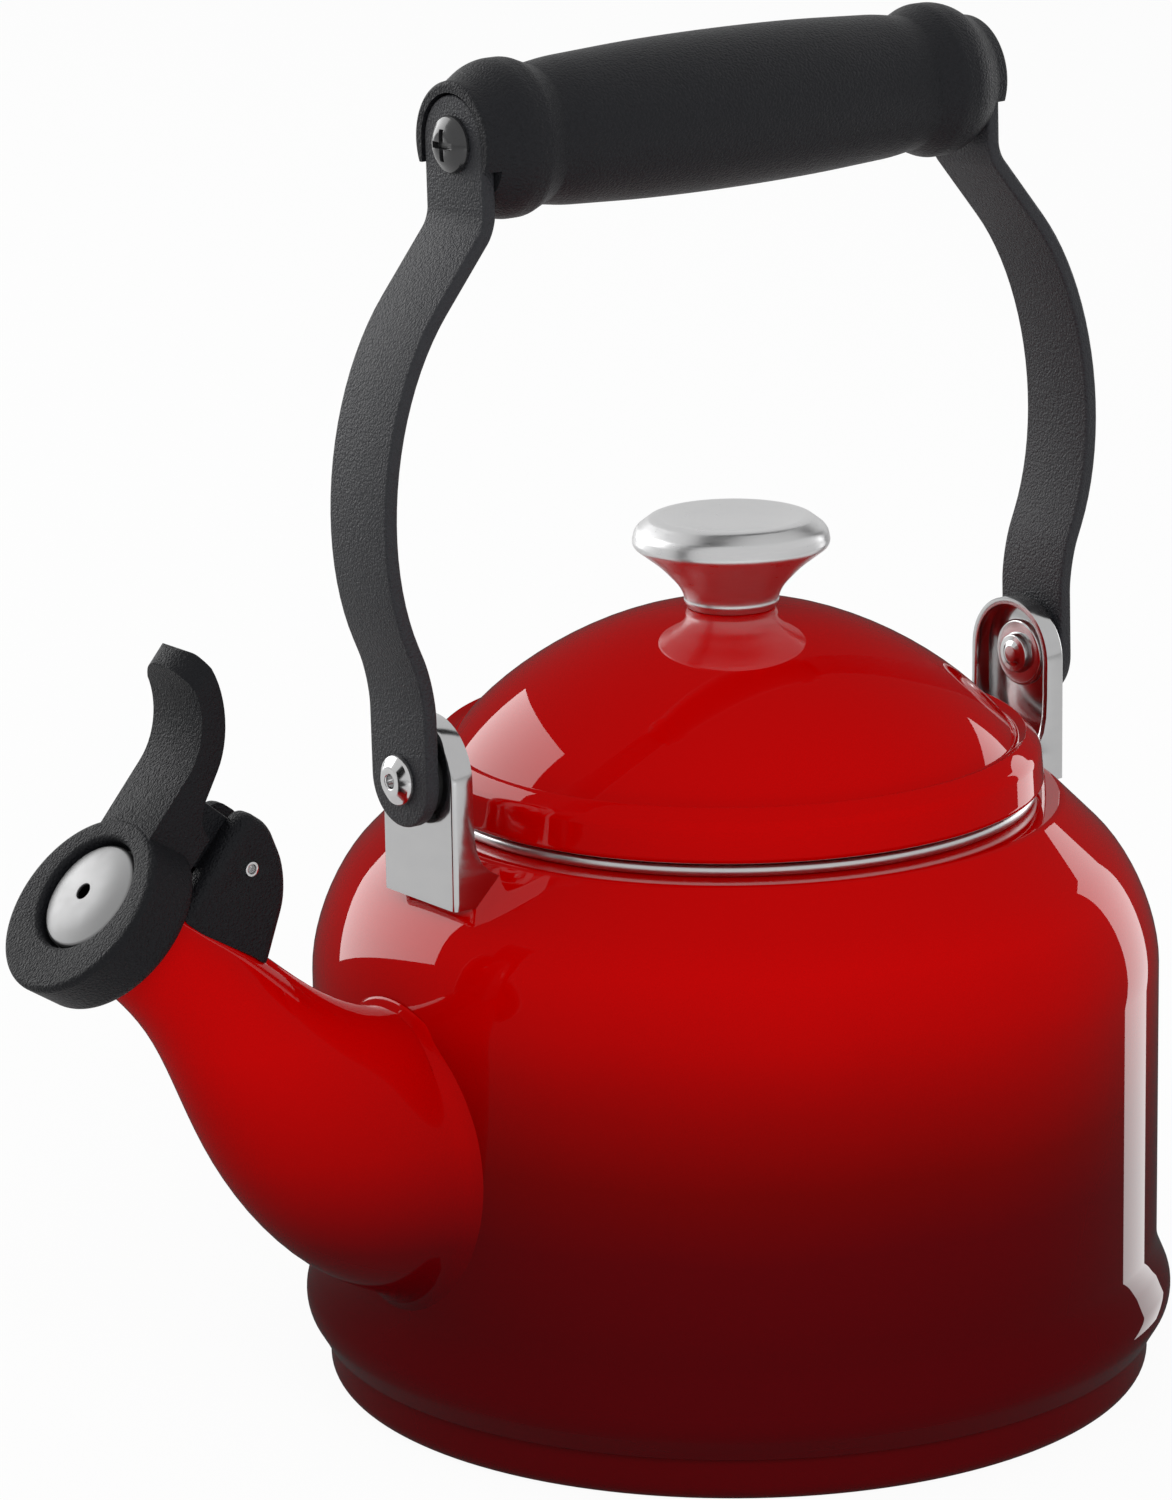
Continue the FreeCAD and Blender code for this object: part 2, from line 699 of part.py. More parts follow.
def lever_plan():
    """The lever's outline seen along the mouth's face: parallel sides and a round tip."""
    h = lever_half
    tip = -lever_reach
    y = V(0, h, 0)
    corner = W(tip + lever_tongue, 0)
    back = W(cap_depth + 2, 0)
    edges = [
        line(back + y, corner + y),
        arc(corner + y, W(tip, 0), corner - y),
        line(corner - y, back - y),
        line(back - y, back + y),
    ]
    return face(edges).extrude(side * 80)


def skewed(steps):
    """The ring's outside: circles (s, radius) whose middles rise from its face to its back."""
    wires = []
    for s, radius in steps:
        centre = W(s, cap_skew * s / cap_depth - cap_drop)
        wires.append(Part.Wire(Part.makeCircle(radius, centre, front)))
    return Part.makeLoft(wires, True, True)


def whistle_cap():
    c = cap_radius
    d = cap_depth
    lip = mouth_radius - 0.2 + mouth_bead
    rec = lip + recess_clear
    floor = mouth_depth - seal_gap - seal_thick
    bore = disc_radius
    ring = skewed([(0.0, c - 1.2), (0.35, c - 0.4), (1.2, c), (d - 3.0, c), (d - 1.2, c - 0.7), (d, c - 2.4)])
    lever = slab(lever_face(), lever_half).common(lever_plan())
    high = pin_high + knuckle_radius
    neck = [
        W(4.5, c - 2.5), W(4.5, high - 1.0), W(8.0, high - 0.4), W(pin_back - 2, high), W(pin_back, pin_high),
        W(pin_back - 1.5, pin_high - knuckle_radius + 0.3), W(12.0, c - 1.0), W(10.4, c - 2.5),
    ]
    arm = slab(poly(neck), knuckle_half)
    pin = W(pin_back, pin_high)
    boss = rod(knuckle_radius, pin + V(0, -knuckle_half, 0), pin + V(0, knuckle_half, 0))
    body = ring.fuse(lever).fuse(arm).fuse(boss)
    body = body.cut(rod(rec, W(floor, 0), W(d + 3, 0)))
    well = whistle_turned([
        (-1.0, 0.0), (-1.0, bore + 1.2), (0.0, bore + 1.2), (1.4, bore), (disc_seat, bore),
        (disc_seat, web_hole), (d, web_hole), (d, 0.0),
    ], disc_lift)
    body = body.cut(well)
    pocket_half = knuckle_half - 1.2
    pocket = rod(knuckle_radius + 1.0, pin + V(0, -pocket_half, 0), pin + V(0, pocket_half, 0))
    bore_pin = rod(pin_radius + pin_fit, pin + V(0, -10, 0), pin + V(0, 10, 0))
    return body.cut(pocket).cut(bore_pin)


def disc_turned(edges):
    return face(edges).revolve(mouth + side * disc_lift, front, 360)


def D(s, radius):
    """Point on the section of the discs: s back from the front face, radius from their own axis."""
    return W(s, radius + disc_lift)


def whistle_front_disc():
    """Flange on the web, a short wall up from it and a domed middle with the steam hole."""
    t = disc_sheet
    seat = disc_seat - t
    w = disc_wall
    e = disc_edge
    k = disc_dome
    return disc_turned([
        line(D(seat, disc_radius), D(seat, w)),
        line(D(seat, w), D(e + 0.5, w)),
        arc(D(e + 0.5, w), D(e + 0.1, w - 0.25), D(e, w - 0.7)),
        arc(D(e, w - 0.7), D(e - k * 0.7, w * 0.5), D(e - k, disc_hole)),
        line(D(e - k, disc_hole), D(e - k + t, disc_hole)),
        arc(D(e - k + t, disc_hole), D(e - k * 0.7 + t, w * 0.5), D(e + t, w - 0.8)),
        line(D(e + t, w - 0.8), D(e + t + 0.2, w - t)),
        line(D(e + t + 0.2, w - t), D(disc_seat, w - t)),
        line(D(disc_seat, w - t), D(disc_seat, disc_radius)),
        line(D(disc_seat, disc_radius), D(seat, disc_radius)),
    ])


def whistle_rear_disc():
    """Second disc, flat at its edge and domed backwards through the web."""
    t = disc_sheet
    s0 = disc_seat - t
    flat = web_hole - 0.6
    k = disc_dome
    r = disc_wall - t - 0.3
    return disc_turned([
        line(D(s0, r), D(s0, flat)),
        arc(D(s0, flat), D(s0 + k * 0.72, flat * 0.55), D(s0 + k, disc_hole)),
        line(D(s0 + k, disc_hole), D(s0 + k + t, disc_hole)),
        arc(D(s0 + k + t, disc_hole), D(s0 + k * 0.72 + t, flat * 0.55), D(s0 + t, flat)),
        line(D(s0 + t, flat), D(s0 + t, r)),
        line(D(s0 + t, r), D(s0, r)),
    ])


def whistle_seal():
    back = mouth_depth - seal_gap
    a = back - seal_thick
    ro = mouth_radius - 0.2 + mouth_bead + recess_clear
    ri = web_hole + disc_lift
    return whistle_turned([(a, ri), (a, ro), (back, ro), (back, ri)])


def whistle_bracket():
    f = cheek_front
    s0 = saddle_low
    n = cheek_size
    m = cheek_long
    cheek = [
        line(W(f, s0 - 4), W(f, s0 + n - 3.2)),
        arc(W(f, s0 + n - 3.2), W(f + 1.0, s0 + n - 1.0), W(f + 3.2, s0 + n - 0.4)),
        arc(W(f + 3.2, s0 + n - 0.4), W(f + m * 0.69, s0 + n * 0.72), W(f + m, s0 - 1.6)),
        line(W(f + m, s0 - 1.6), W(f + m - 0.2, s0 - 4)),
        line(W(f + m - 0.2, s0 - 4), W(f, s0 - 4)),
    ]
    block = slab(face(cheek), cheek_half)
    gap = knuckle_half + knuckle_gap
    low = web_high
    slot = [W(f - 2, low), W(f - 2, s0 + n + 5), W(f + m + 8, s0 + n + 5), W(f + m + 8, low)]
    block = block.cut(slab(poly(slot), gap))
    block = block.cut(spout_solid(-saddle_gap))
    keep = sorted(block.Solids, key=lambda s: -s.Volume)[0]
    pin = W(pin_back, pin_high)
    keep = keep.cut(rod(pin_radius, pin + V(0, -20, 0), pin + V(0, 20, 0)))
    return keep.cut(rod(1.5, W(f + 12.5, 2), W(f + 12.5, s0 + n)))


def bracket_stud():
    """Stud welded on the spout with a push-on cap that holds the whistle bracket down."""
    s = cheek_front + 12.5
    low = web_high
    stud = rod(1.5, W(s, 6), W(s, low + 0.5))
    cap = rod(2.4, W(s, low), W(s, low + 0.5))
    return stud.fuse(cap).cut(spout_solid(-saddle_gap))


def whistle_pin():
    pin = W(pin_back, pin_high)
    end = cheek_half + 0.35
    return rod(pin_radius, pin + V(0, -end, 0), pin + V(0, end, 0))


def whistle_spring():
    """Close-wound torsion spring in the pocket between the two knuckles."""
    r = pin_radius + 0.75
    half = knuckle_half - 1.2 - 0.15 - spring_wire
    body = Part.makeCylinder(r + 0.12, 2 * half).cut(Part.makeCylinder(r - 0.12, 2 * half))
    for i in range(spring_turns):
        turn = Part.makeTorus(r, spring_wire)
        turn.translate(V(0, 0, 2 * half * i / (spring_turns - 1)))
        body = body.fuse(turn)
    down = pin_high - web_high - 0.1
    ahead = math.sqrt((knuckle_radius + 1.0) ** 2 - r ** 2) - 0.1
    leg_a = rod(0.9 * spring_wire, V(r, 0, 0), V(r, -down, 0))
    leg_b = rod(0.9 * spring_wire, V(0, r, 2 * half), V(-ahead, r, 2 * half))
    body = body.fuse(leg_a).fuse(leg_b)
    body.translate(V(0, 0, -half))
    body.rotate(V(0, 0, 0), V(1, 0, 0), 90)
    body.rotate(V(0, 0, 0), V(0, 1, 0), mouth_tilt)
    body.translate(W(pin_back, pin_high))
    return body


def leaned(shape):
    """The bail's pieces are drawn upright, then turned about the pivot line to where they rest."""
    shape = shape.copy()
    shape.rotate(V(0, 0, pivot_z), V(1, 0, 0), -bail_lean)
    return shape


def main():
    os.makedirs("parts", exist_ok=True)
    rear = bracket()
    back_strap = strap()
    pieces = {
        "body_shell": body_shell(),
        "base_pan": base_pan(),
        "opening_rim": opening_rim(),
        "spout": spout(),
        "front_bracket": mirror_x(rear),
        "rear_bracket": rear,
        "pivot_rivets": both_ends(pivot_rivet()),
        "rivet_washers": both_ends(rivet_washer()),
        "friction_washers": both_ends(friction_washer()),
        "front_strap": leaned(mirror_x(back_strap)),
        "rear_strap": leaned(back_strap),
        "grip": leaned(grip()),
        "grip_inserts": leaned(both_ends(grip_insert())),
        "grip_screws": leaned(both_ends(grip_screw())),
        "lid_shell": lid_shell(),
        "lid_skirt": lid_skirt(),
        "lid_knob": lid_knob(),
        "knob_washer": knob_washer(),
        "knob_screw": knob_screw(),
        "whistle_bracket": whistle_bracket(),
        "bracket_stud": bracket_stud(),
        "whistle_pin": whistle_pin(),
        "whistle_cap": whistle_cap(),
        "whistle_front_disc": whistle_front_disc(),
        "whistle_rear_disc": whistle_rear_disc(),
        "whistle_seal": whistle_seal(),
        "whistle_spring": whistle_spring(),
    }
    for name, shape in pieces.items():
        shape.exportStep("parts/%s.step" % name)
        b = shape.BoundBox
        size = "%.1f %.1f %.1f" % (b.XLength, b.YLength, b.ZLength)
        print(name, "solids", len(shape.Solids), "valid", shape.isValid(), "volume %.0f" % shape.Volume, size)
    print("grip height", round(grip_z(), 2), "opening", round(opening_radius, 2), "pad", round(pad_z, 2))


main()
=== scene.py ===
import bpy
import bmesh
import math
from mathutils import Matrix, Vector


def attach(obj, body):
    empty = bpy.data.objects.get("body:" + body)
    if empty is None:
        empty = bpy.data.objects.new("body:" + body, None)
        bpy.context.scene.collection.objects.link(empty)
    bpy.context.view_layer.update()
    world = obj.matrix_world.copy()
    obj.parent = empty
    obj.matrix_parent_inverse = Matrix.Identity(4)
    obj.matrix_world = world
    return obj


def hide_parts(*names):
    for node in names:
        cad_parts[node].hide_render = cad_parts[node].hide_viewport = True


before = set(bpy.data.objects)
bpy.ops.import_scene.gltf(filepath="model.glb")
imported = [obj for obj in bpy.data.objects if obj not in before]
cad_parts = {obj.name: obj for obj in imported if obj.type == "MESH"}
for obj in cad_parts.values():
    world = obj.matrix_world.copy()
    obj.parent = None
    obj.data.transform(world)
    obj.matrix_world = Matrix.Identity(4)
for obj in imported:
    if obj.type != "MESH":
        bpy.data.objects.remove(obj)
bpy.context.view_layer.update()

# Camera: a long lens at arm's length from the kettle, a little above it and to the left of the
# spout side. Sizes in this file are millimetres unless a call says otherwise.
MM = 0.001
bpy.ops.object.camera_add(location=(-0.64286, -0.82077, 0.38609))
camera = bpy.context.object
camera.rotation_euler = (math.radians(75.128), math.radians(0.851), math.radians(-36.920))
camera.data.lens = 152.04
camera.data.clip_start = 0.05
bpy.context.scene.camera = camera
bpy.context.scene.view_settings.view_transform = "Standard"


# Studio: a pale table in a room that is white to the camera and evenly lit. Satin metal sees the
# pale room; mirror-smooth enamel sees past the table to a dim room, so that only the two softboxes
# beside the kettle show in it.
def wire(tree, out, into):
    tree.links.new(out, into)


def new_surface(name):
    material = bpy.data.materials.new(name)
    material.use_nodes = True
    tree = material.node_tree
    return material, tree, tree.nodes["Principled BSDF"]


def pick_by(tree, ray, path, plain, special):
    """Shows special to one kind of ray (Is Camera Ray and so on) and plain to the others."""
    swap = tree.nodes.new("ShaderNodeMixShader")
    wire(tree, path.outputs[ray], swap.inputs[0])
    wire(tree, plain.outputs[0], swap.inputs[1])
    wire(tree, special.outputs[0], swap.inputs[2])
    return swap


bpy.ops.object.select_all(action="DESELECT")
bpy.ops.mesh.primitive_plane_add(size=8)
table = bpy.context.object
table.name = "studio_table"
table_paper, tree, paper = new_surface("table_paper")
paper.inputs["Roughness"].default_value = 0.9
paper.inputs["Specular IOR Level"].default_value = 0.0
paper.inputs["Base Color"].default_value = (0.8, 0.8, 0.8, 1)
path = tree.nodes.new("ShaderNodeLightPath")
white = tree.nodes.new("ShaderNodeEmission")
white.inputs["Strength"].default_value = 1.0
shown = tree.nodes.new("ShaderNodeMixShader")
shown.inputs[0].default_value = 0.94
wire(tree, paper.outputs[0], shown.inputs[1])
wire(tree, white.outputs[0], shown.inputs[2])
clear = tree.nodes.new("ShaderNodeBsdfTransparent")
seen = pick_by(tree, "Is Camera Ray", path, paper, shown)
seen = pick_by(tree, "Is Singular Ray", path, seen, clear)
wire(tree, seen.outputs[0], tree.nodes["Material Output"].inputs["Surface"])
table.data.materials.append(table_paper)

room = bpy.data.worlds.new("studio_room")
room.use_nodes = True
bpy.context.scene.world = room
air = room.node_tree


def room_light(strength):
    shade = air.nodes.new("ShaderNodeBackground")
    shade.inputs["Color"].default_value = (1, 1, 1, 1)
    shade.inputs["Strength"].default_value = strength
    return shade


path = air.nodes.new("ShaderNodeLightPath")
seen = pick_by(air, "Is Glossy Ray", path, room_light(0.55), room_light(0.75))
seen = pick_by(air, "Is Singular Ray", path, seen, room_light(0.06))
seen = pick_by(air, "Is Camera Ray", path, seen, room_light(1.0))
wire(air, seen.outputs[0], air.nodes["World Output"].inputs["Surface"])


def softbox(name, azimuth, distance, height, wide, high, watts, roll=0.0, mirrored=True):
    """A rectangular lamp that faces the kettle: azimuth in degrees from +X, sizes in metres."""
    lamp = bpy.data.lights.new(name, "AREA")
    lamp.shape = "RECTANGLE"
    lamp.size = wide
    lamp.size_y = high
    lamp.energy = watts
    holder = bpy.data.objects.new(name, lamp)
    bpy.context.scene.collection.objects.link(holder)
    turn = math.radians(azimuth)
    place = Vector((distance * math.cos(turn), distance * math.sin(turn), height))
    aim = Vector((0, 0, 0.08)) - place
    holder.location = place
    holder.rotation_euler = (aim.to_track_quat("-Z", "Y").to_matrix()
                             @ Matrix.Rotation(math.radians(roll), 3, "Z")).to_euler()
    holder.visible_camera = False
    holder.visible_glossy = mirrored
    return holder


softbox("left_softbox", 109, 1.6, 0.72, 1.5, 1.05, 13.5, roll=34)
softbox("right_strip", 6, 0.85, 0.06, 0.26, 0.72, 1.25)
softbox("front_fill", 248, 1.2, 0.7, 0.9, 0.7, 10, mirrored=False)


# Body: deep-drawn steel sheet, about 1 mm, with a swaged bead above the base and a 45 degree
# shoulder up to a flat seat round the opening. Vitreous enamel inside and out, sprayed cherry red
# over a burgundy ground so that the colour deepens towards the base.
def pick(piece, wanted):
    """Selects, in edit mode, only the corners whose place passes the test."""
    mesh = bmesh.from_edit_mesh(piece.data)
    bpy.context.tool_settings.mesh_select_mode = (True, False, False)
    for part in (mesh.verts, mesh.edges, mesh.faces):
        for item in part:
            item.select = False
    for vert in mesh.verts:
        vert.select = bool(wanted(vert.co))
    mesh.select_flush_mode()
    bmesh.update_edit_mesh(piece.data)


def near(x, y, z):
    spot = Vector((x * MM, y * MM, z * MM))
    return lambda co: (co - spot).length < 2e-6


def draw_outline(name, corners, closed=True, fine=6.0):
    """A line through corners (across, up, corner radius) in the plane y = 0, each corner rounded."""
    bpy.ops.object.select_all(action="DESELECT")
    bpy.ops.mesh.primitive_plane_add(size=0.001)
    piece = bpy.context.object
    piece.name = piece.data.name = name
    bpy.ops.object.mode_set(mode="EDIT")
    bpy.ops.mesh.select_mode(type="VERT")
    bpy.ops.mesh.merge(type="CENTER")
    x0, z0 = corners[0][:2]
    bpy.ops.transform.translate(value=(x0 * MM, 0, z0 * MM))
    for x, z, _ in corners[1:]:
        step = ((x - x0) * MM, 0, (z - z0) * MM)
        bpy.ops.mesh.extrude_vertices_move(TRANSFORM_OT_translate={"value": step})
        x0, z0 = x, z
    if closed:
        ends = [near(c[0], 0, c[1]) for c in (corners[0], corners[-1])]
        pick(piece, lambda co: ends[0](co) or ends[1](co))
        bpy.ops.mesh.edge_face_add()
    count = len(corners)
    for i, (x, z, radius) in enumerate(corners):
        if not radius:
            continue
        before = Vector(corners[i - 1][:2]) - Vector((x, z))
        after = Vector(corners[(i + 1) % count][:2]) - Vector((x, z))
        bend = math.pi - before.angle(after)
        pick(piece, near(x, 0, z))
        steps = max(2, round(math.degrees(bend) / fine), round(radius * bend / 3))
        bpy.ops.mesh.bevel(offset=radius * MM * math.tan(bend / 2), affect="VERTICES",
                           segments=steps, clamp_overlap=False)
    return piece


def turn_outline(piece, steps, centre=(0, 0, 0), axis=(0, 0, 1)):
    """Spins the drawn line right round, as on a lathe, and closes the seam and the poles."""
    bpy.ops.mesh.select_all(action="SELECT")
    bpy.ops.mesh.spin(steps=steps, angle=2 * math.pi, center=Vector(centre) * MM, axis=axis)
    bpy.ops.mesh.select_all(action="SELECT")
    bpy.ops.mesh.remove_doubles(threshold=1e-6)
    bpy.ops.mesh.normals_make_consistent(inside=False)
    bpy.ops.object.mode_set(mode="OBJECT")
    return piece


def apply(piece, kind, **settings):
    bpy.ops.object.select_all(action="DESELECT")
    piece.select_set(True)
    bpy.context.view_layer.objects.active = piece
    modifier = piece.modifiers.new(kind.lower(), kind)
    for key, value in settings.items():
        setattr(modifier, key, value)
    bpy.ops.object.modifier_apply(modifier=modifier.name)


def cut_away(piece, tool, operation="DIFFERENCE"):
    """Cuts the tool out of the piece, or joins or crosses the two, and uses the tool up."""
    apply(piece, "BOOLEAN", object=tool, operation=operation, solver="EXACT")
    bpy.data.objects.remove(tool, do_unlink=True)


def rod(radius, length, centre, along="X", sides=96):
    """A round bar along X, Y or Z with its middle at centre."""
    turned = {"X": (0, math.pi / 2, 0), "Y": (math.pi / 2, 0, 0), "Z": (0, 0, 0)}[along]
    bpy.ops.object.select_all(action="DESELECT")
    bpy.ops.mesh.primitive_cylinder_add(vertices=sides, radius=radius * MM, depth=length * MM,
                                        location=Vector(centre) * MM, rotation=turned)
    return bpy.context.object


def smooth(piece, degrees=30):
    bpy.ops.object.select_all(action="DESELECT")
    piece.select_set(True)
    bpy.context.view_layer.objects.active = piece
    bpy.ops.object.shade_smooth_by_angle(angle=math.radians(degrees))


def finish_piece(piece, material, body, slot, *nodes):
    piece.data.materials.clear()
    piece.data.materials.append(material)
    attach(piece, body)
    if nodes:
        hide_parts(*nodes)


def grain(tree, scale, detail=2.0, stretch=(1, 1, 1)):
    place = tree.nodes.new("ShaderNodeTexCoord")
    turn = tree.nodes.new("ShaderNodeMapping")
    turn.inputs["Scale"].default_value = stretch
    noise = tree.nodes.new("ShaderNodeTexNoise")
    noise.inputs["Scale"].default_value = scale
    noise.inputs["Detail"].default_value = detail
    wire(tree, place.outputs["Object"], turn.inputs["Vector"])
    wire(tree, turn.outputs["Vector"], noise.inputs["Vector"])
    return noise.outputs["Fac"]


def relief(tree, shader, height, strength, deep):
    bump = tree.nodes.new("ShaderNodeBump")
    bump.inputs["Strength"].default_value = strength
    bump.inputs["Distance"].default_value = deep * MM
    wire(tree, height, bump.inputs["Height"])
    wire(tree, bump.outputs["Normal"], shader.inputs["Normal"])


def between(tree, value, low, high):
    span = tree.nodes.new("ShaderNodeMapRange")
    span.inputs["To Min"].default_value = low
    span.inputs["To Max"].default_value = high
    wire(tree, value, span.inputs["Value"])
    return span.outputs["Result"]


def enamel(name, stops, low, high):
    """Glossy vitreous enamel; stops give its colour from the height low up to the height high."""
    material, tree, shader = new_surface(name)
    place = tree.nodes.new("ShaderNodeTexCoord")
    split = tree.nodes.new("ShaderNodeSeparateXYZ")
    wire(tree, place.outputs["Object"], split.inputs[0])
    height = tree.nodes.new("ShaderNodeMapRange")
    height.inputs["From Min"].default_value = low * MM
    height.inputs["From Max"].default_value = high * MM
    wire(tree, split.outputs["Z"], height.inputs["Value"])
    cloud = tree.nodes.new("ShaderNodeMath")
    cloud.operation = "MULTIPLY_ADD"
    wire(tree, grain(tree, 26, 3), cloud.inputs[0])
    cloud.inputs[1].default_value = 0.06
    wire(tree, height.outputs["Result"], cloud.inputs[2])
    shades = tree.nodes.new("ShaderNodeValToRGB")
    shades.color_ramp.interpolation = "LINEAR"
    for i, (at, colour) in enumerate(stops):
        stop = shades.color_ramp.elements[i] if i < 2 else shades.color_ramp.elements.new(at)
        stop.position = at
        stop.color = (*colour, 1)
    wire(tree, cloud.outputs[0], shades.inputs["Fac"])
    wire(tree, shades.outputs["Color"], shader.inputs["Base Color"])
    shader.inputs["Roughness"].default_value = 0.0
    relief(tree, shader, grain(tree, 60, 1), 0.05, 0.03)
    return material


body_enamel = enamel("body_enamel", [
    (0.0, (0.062, 0.0, 0.001)), (1.0, (0.44, 0.0, 0.0)), (0.30, (0.072, 0.0, 0.001)),
    (0.45, (0.088, 0.0, 0.001)), (0.57, (0.138, 0.0, 0.0)), (0.69, (0.24, 0.0, 0.0)),
    (0.81, (0.375, 0.0, 0.0)), (0.91, (0.45, 0.0, 0.0))], 0, 100)
body = draw_outline("enamelled_body", [
    (71.0, 8.0, 0), (72.2, 8.0, 0.4), (72.95, 9.4, 2.4), (75.7, 14.0, 5.6), (72.55, 21.6, 11),
    (72.55, 84.62, 30),
    (56.18, 101.0, 1.5), (49.35, 101.0, 0.3), (49.35, 100.05, 0.3), (55.78, 100.05, 0.8),
    (71.55, 84.22, 29),
    (71.55, 21.6, 8), (74.5, 14.0, 4.4), (71.9, 9.9, 1), (71.0, 9.0, 0)], fine=4)
turn_outline(body, 192)
passage_high, passage_wide = 22.2, 16.9
passage = rod(passage_high, 20, (-71.5, 0, 51.2), sides=64)
passage.scale.y = passage_wide / passage_high
cut_away(body, passage)
smooth(body, 35)
finish_piece(body, body_enamel, "kettle", "red_enamel", "body_shell")


# Base: pressed pan of the same sheet, rolled into the bead of the body, with a rounded lower
# edge and a slightly raised middle, so that the kettle stands on a ring.
base_enamel = enamel("base_enamel", [(0.0, (0.075, 0.0, 0.001)), (1.0, (0.085, 0.0, 0.001))], 0, 14)
base = draw_outline("base_pan_pressing", [
    (0, 0.7, 0), (60, 0.7, 2), (62, 0.0, 2), (71.0, 0.0, 3), (71.0, 12.5, 0), (70.0, 12.5, 0),
    (70.0, 1.0, 2), (62, 1.0, 2), (60, 1.7, 2), (0, 1.7, 0)], closed=False)
turn_outline(base, 160)
smooth(base, 35)
finish_piece(base, base_enamel, "kettle", "dark_enamel", "base_pan")


# Opening rim: stainless strip hemmed over the cut edge of the opening, satin from a polishing
# wheel that ran round it. The lid rests on its bead.
def steel(name, shade, rough, stretch, scale, deep):
    material, tree, shader = new_surface(name)
    shader.inputs["Metallic"].default_value = 1.0
    lines = grain(tree, scale, 3, stretch)
    tone = tree.nodes.new("ShaderNodeMixRGB")
    tone.inputs[1].default_value = (shade * 0.95, shade * 0.95, shade * 0.96, 1)
    tone.inputs[2].default_value = (shade * 1.05, shade * 1.05, shade * 1.05, 1)
    wire(tree, lines, tone.inputs[0])
    wire(tree, tone.outputs[0], shader.inputs["Base Color"])
    wire(tree, between(tree, lines, rough * 0.75, rough * 1.3), shader.inputs["Roughness"])
    relief(tree, shader, lines, 0.08, deep)
    return material


satin_steel = steel("satin_steel", 0.62, 0.30, (1, 1, 14), 220, 0.02)
rim = draw_outline("hemmed_rim", [
    (48.25, 97.0, 0.3), (49.3, 97.0, 0.3), (49.3, 101.05, 0), (51.6, 101.05, 1.0), (51.6, 103.15, 1.0),
    (48.25, 103.15, 1.0)])
turn_outline(rim, 160)
smooth(rim, 40)
finish_piece(rim, satin_steel, "kettle", "stainless", "opening_rim")


# Spout: two pressed halves welded and ground to one tube that sweeps up from a wide root to a
# rolled lip, enamelled in one piece with the body so that the joint is a soft fillet.
# The spout's colour darkens towards its underside. Part of this is the enamel's own deepening red and part
# is painted shade, darker there than the lamps leave it.
spout_enamel_and_painted_shade = enamel("spout_enamel_and_painted_shade", [(0.0, (0.03, 0.0, 0.001)), (1.0, (0.44, 0.0, 0.0)),
                                       (0.35, (0.10, 0.0, 0.001)), (0.66, (0.31, 0.0, 0.0))], 22, 80)


def spout_ring(x, z, lean, half_high, half_wide, hug=None):
    """An upright oval tilted back by lean; with hug, laid on a cylinder of that radius round the body."""
    bpy.ops.object.select_all(action="DESELECT")
    bpy.ops.mesh.primitive_circle_add(vertices=48, radius=1)
    ring = bpy.context.object
    ring.scale = (half_high * MM, half_wide * MM, 1)
    ring.rotation_euler = (0, math.radians(lean - 90), 0)
    ring.location = (x * MM, 0, z * MM)
    bpy.ops.object.transform_apply(location=True, rotation=True, scale=True)
    if hug:
        for vert in ring.data.vertices:
            vert.co.x = -math.sqrt((hug * MM) ** 2 - vert.co.y ** 2)
    return ring


def skin(name, rings, close=True):
    """Joins rings into one skin, back to its first ring or with both ends capped."""
    bpy.ops.object.select_all(action="DESELECT")
    for ring in rings:
        ring.select_set(True)
    piece = rings[0]
    bpy.context.view_layer.objects.active = piece
    piece.name = piece.data.name = name
    places = [{tuple(round(c, 7) for c in v.co) for v in ring.data.vertices} for ring in rings]
    count = len(rings)
    bpy.ops.object.join()
    bpy.ops.object.mode_set(mode="EDIT")
    for i in range(count if close else count - 1):
        pair = places[i] | places[(i + 1) % count]
        pick(piece, lambda co: tuple(round(c, 7) for c in co) in pair)
        bpy.context.tool_settings.mesh_select_mode = (False, True, False)
        bpy.ops.mesh.bridge_edge_loops()
    if not close:
        for ends in (places[0], places[-1]):
            pick(piece, lambda co: tuple(round(c, 7) for c in co) in ends)
            bpy.ops.mesh.edge_face_add()
    bpy.ops.mesh.select_all(action="SELECT")
    bpy.ops.mesh.normals_make_consistent(inside=False)
    bpy.ops.object.mode_set(mode="OBJECT")
    return piece


sweep = [(-78.3, 54.4, 20, 22.9, 18.1), (-84.7, 60.1, 37, 21.3, 17.1), (-93.9, 67.7, 46, 17.3, 14.9),
         (-101.6, 76.9, 47, 13.8, 12.7), (-109.2, 87.3, 43.5, 11.0, 10.8), (-117.2, 94.4, 41, 9.2, 9.2)]
root = [(-72, 51.3, 0, 28.6, 23.2, 71.95), (-72, 51.3, 0, 26.6, 21.6, 72.45),
        (-73, 51.5, 2, 25.0, 20.0, 73.0), (-74, 51.7, 4, 23.9, 18.9, 74.4)]
lip = [(-122.6, 98.9, 41, 8.95, 8.95), (-124.2, 100.3, 41, 8.95, 8.95), (-124.5, 100.6, 41, 9.5, 9.5),
       (-125.2, 101.2, 41, 9.6, 9.6), (-125.5, 101.46, 41, 8.8, 8.8), (-125.3, 101.3, 41, 7.8, 7.8)]
inside = [(-117.2, 94.4, 41, 8.0, 8.0), (-109.1, 87.4, 43.5, 9.5, 9.4), (-101.4, 77.1, 47, 12.0, 11.2),
          (-93.6, 68.0, 46, 15.4, 13.4), (-84.4, 60.4, 37, 19.4, 15.6), (-78.3, 54.4, 20, 21.7, 16.9),
          (-73.5, 51.6, 3, 22.3, 17.0, 72.2), (-72, 51.2, 0, 22.3, 17.0, 71.7)]
spout = skin("enamelled_spout", [spout_ring(*station) for station in root + sweep + lip + inside])
apply(spout, "SUBSURF", levels=2, render_levels=2)
smooth(spout, 60)
finish_piece(spout, spout_enamel_and_painted_shade, "kettle", "red_enamel", "spout")


